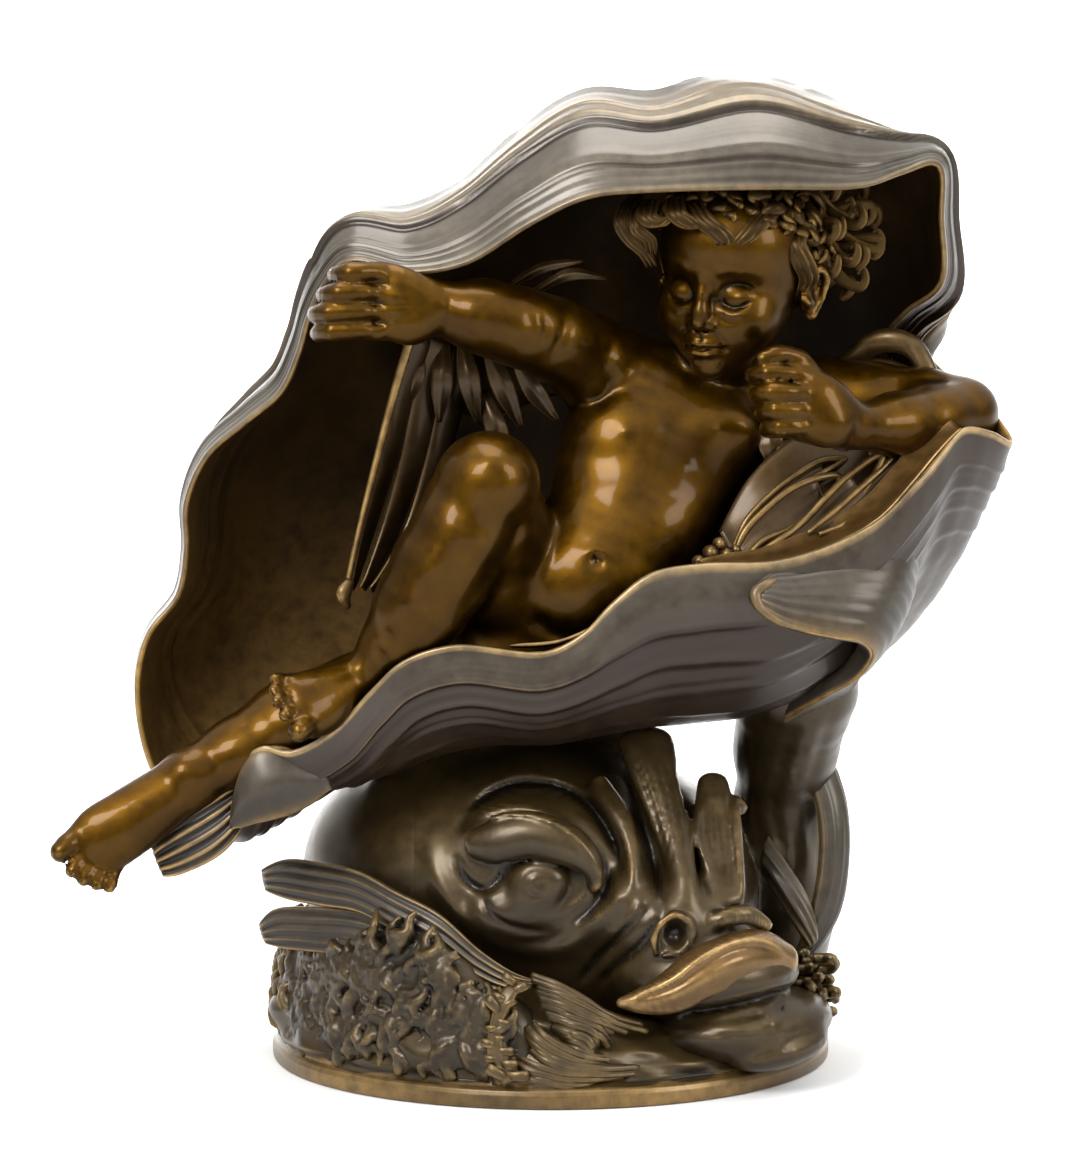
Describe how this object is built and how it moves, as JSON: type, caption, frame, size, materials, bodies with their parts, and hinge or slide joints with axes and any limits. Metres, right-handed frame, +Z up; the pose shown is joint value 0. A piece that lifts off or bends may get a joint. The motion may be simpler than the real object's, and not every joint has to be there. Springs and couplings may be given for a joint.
{
  "type": "figure sculpture",
  "caption": "Cast bronze of a winged cupid lounging in a tall ruffled shell, carried by a sea monster's head and tail above a round base of waves.",
  "frame": {"origin": "centre of the round base's underside", "axes": "+Z up; -Y towards the viewer of the open shell; -X towards the outstretched foot"},
  "size_m": [0.4253, 0.2554, 0.4449],
  "materials": {
    "bronze": "patinated cast bronze, glossy brown with worn golden edges"
  },
  "bodies": {
    "root": {"bronze_cupid_group": "bronze"}
  },
  "joints": []
}
